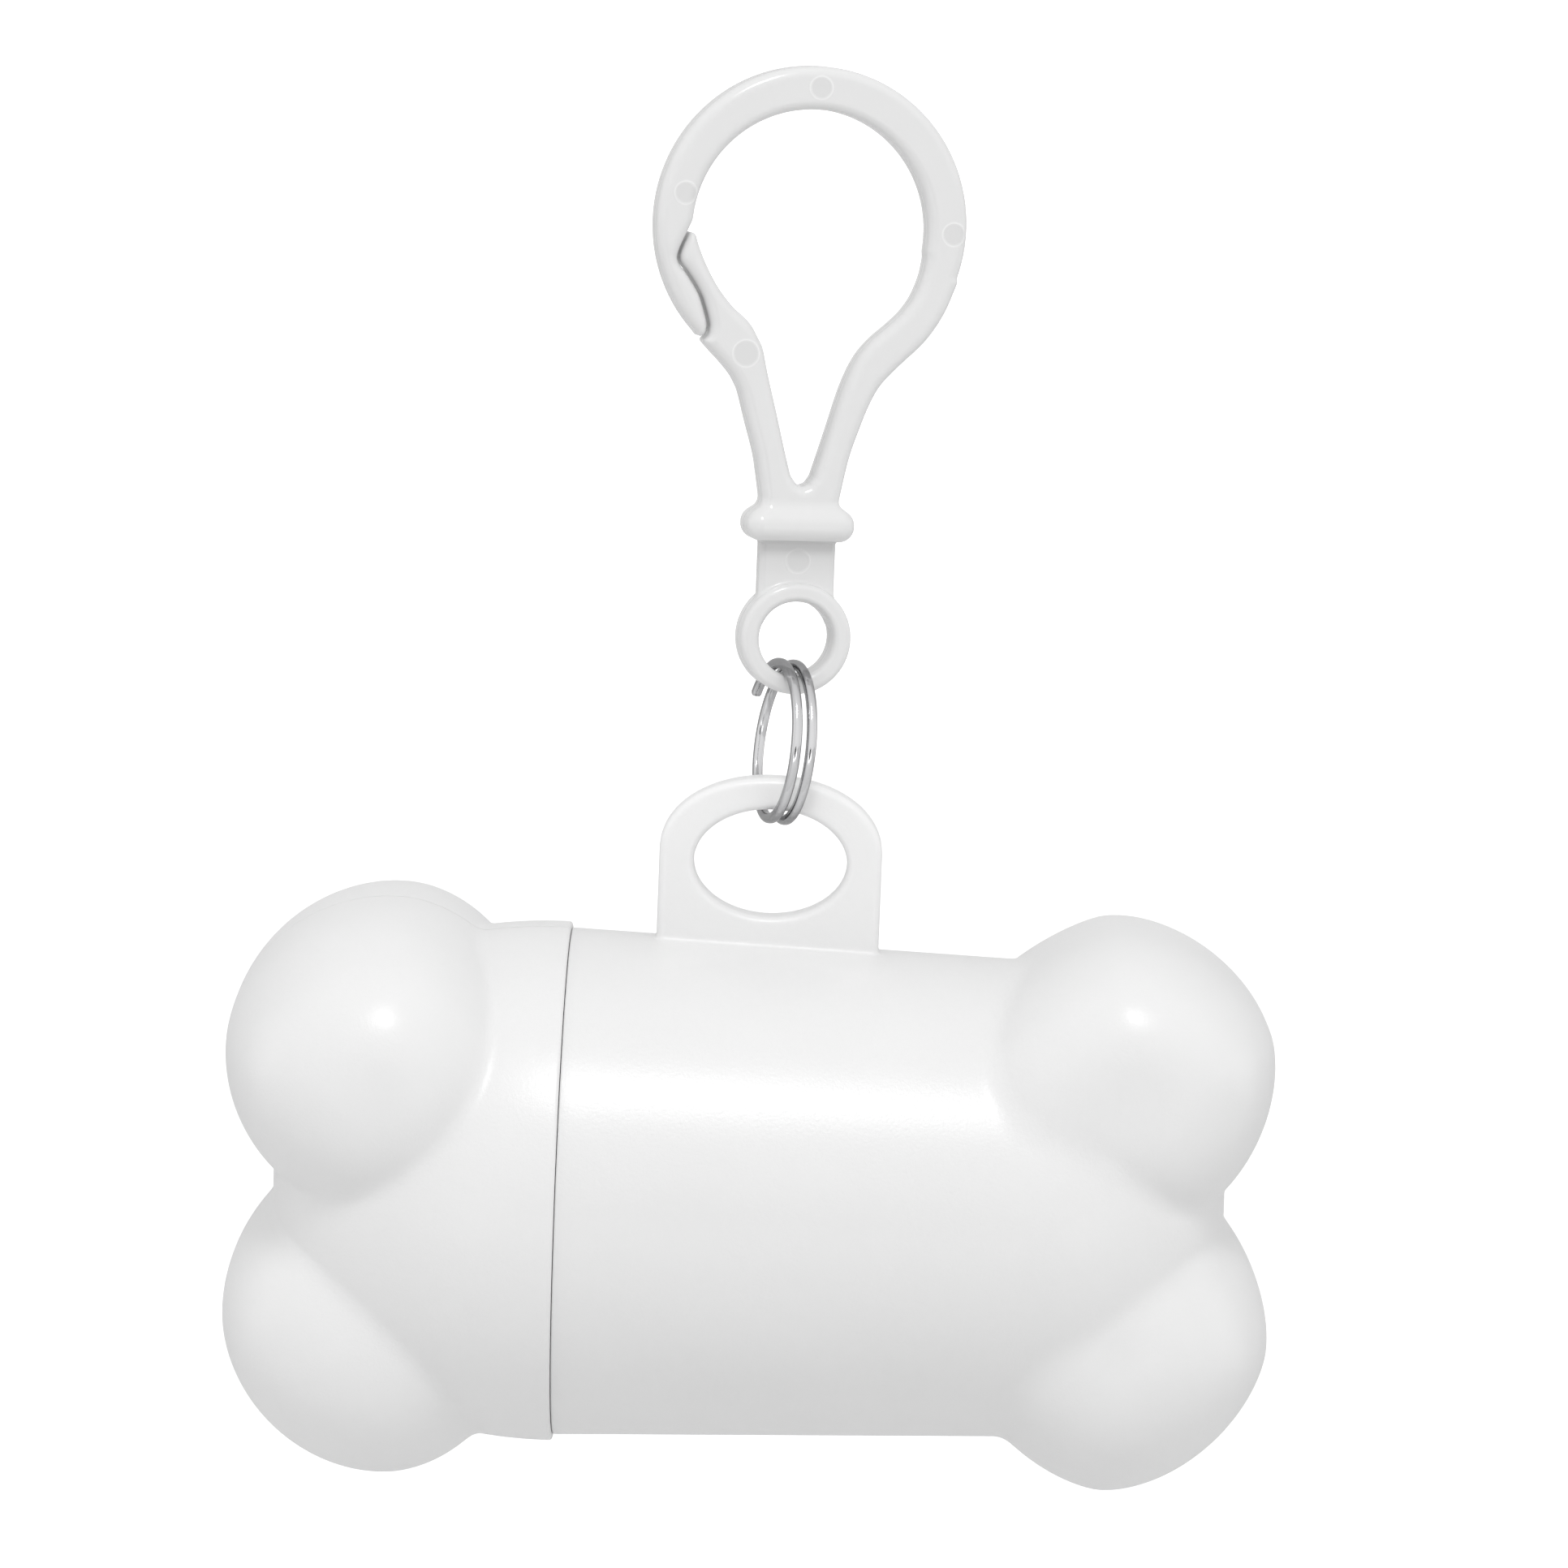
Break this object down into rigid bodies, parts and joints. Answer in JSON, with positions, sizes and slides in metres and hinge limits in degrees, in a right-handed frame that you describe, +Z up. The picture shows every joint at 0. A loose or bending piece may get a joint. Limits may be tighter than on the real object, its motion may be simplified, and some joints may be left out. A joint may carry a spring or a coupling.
{
  "type": "dog waste bag dispenser",
  "caption": "Bone-shaped hollow bag case with a screw-off end cap, hanging by its top handle from a wound split ring on a snap hook, with a roll of film bags inside.",
  "frame": {"origin": "the hanging point: the inside top of the snap hook's loop", "axes": "+Z up against gravity, +X along the bone towards its closed end, the screw cap at -X, -Y the front seen in the picture, the dispensing slot at +Y"},
  "size_m": [0.0851, 0.0422, 0.1149],
  "materials": {
    "case_plastic": "satin, fine moulded grain",
    "hook_plastic": "smooth, slightly glossy",
    "plated_wire": "bright plated wire",
    "bag_film": "thin black film, soft sheen",
    "core_card": "raw brown cardboard"
  },
  "bodies": {
    "hook": {"hook_body": "hook_plastic"},
    "gate": {"gate_arm": "hook_plastic"},
    "ring": {"split_ring": "plated_wire"},
    "bone": {"main_body": "case_plastic"},
    "cap": {"screw_cap": "case_plastic"},
    "roll": {"bag_roll": "bag_film", "roll_core": "core_card"}
  },
  "joints": [
    {"name": "gate_flex", "type": "hinge", "parent": "hook", "child": "gate", "pos_m": [-0.00254, -0.00054, -0.02775], "axis": [-0.2079, 0.9781, 0], "range_deg": [0, 22], "stiffness_Nm_per_rad": 0.4},
    {"name": "ring_swing", "type": "hinge", "parent": "hook", "child": "ring", "pos_m": [0, 0, -0.0424], "axis": [-0.2079, 0.9781, 0], "range_deg": [-60, 60]},
    {"name": "bone_swing", "type": "hinge", "parent": "ring", "child": "bone", "pos_m": [-0.00055, 0, -0.05089], "axis": [0.956, 0.2741, -0.1045], "range_deg": [-70, 70]},
    {"name": "cap_unscrew", "type": "slide", "parent": "bone", "child": "cap", "axis": [-1, 0, 0], "range_m": [0, 0.05]},
    {"name": "roll_spin", "type": "hinge", "parent": "bone", "child": "roll", "pos_m": [0, 0, -0.09095], "axis": [1, 0, 0], "continuous": true}
  ]
}
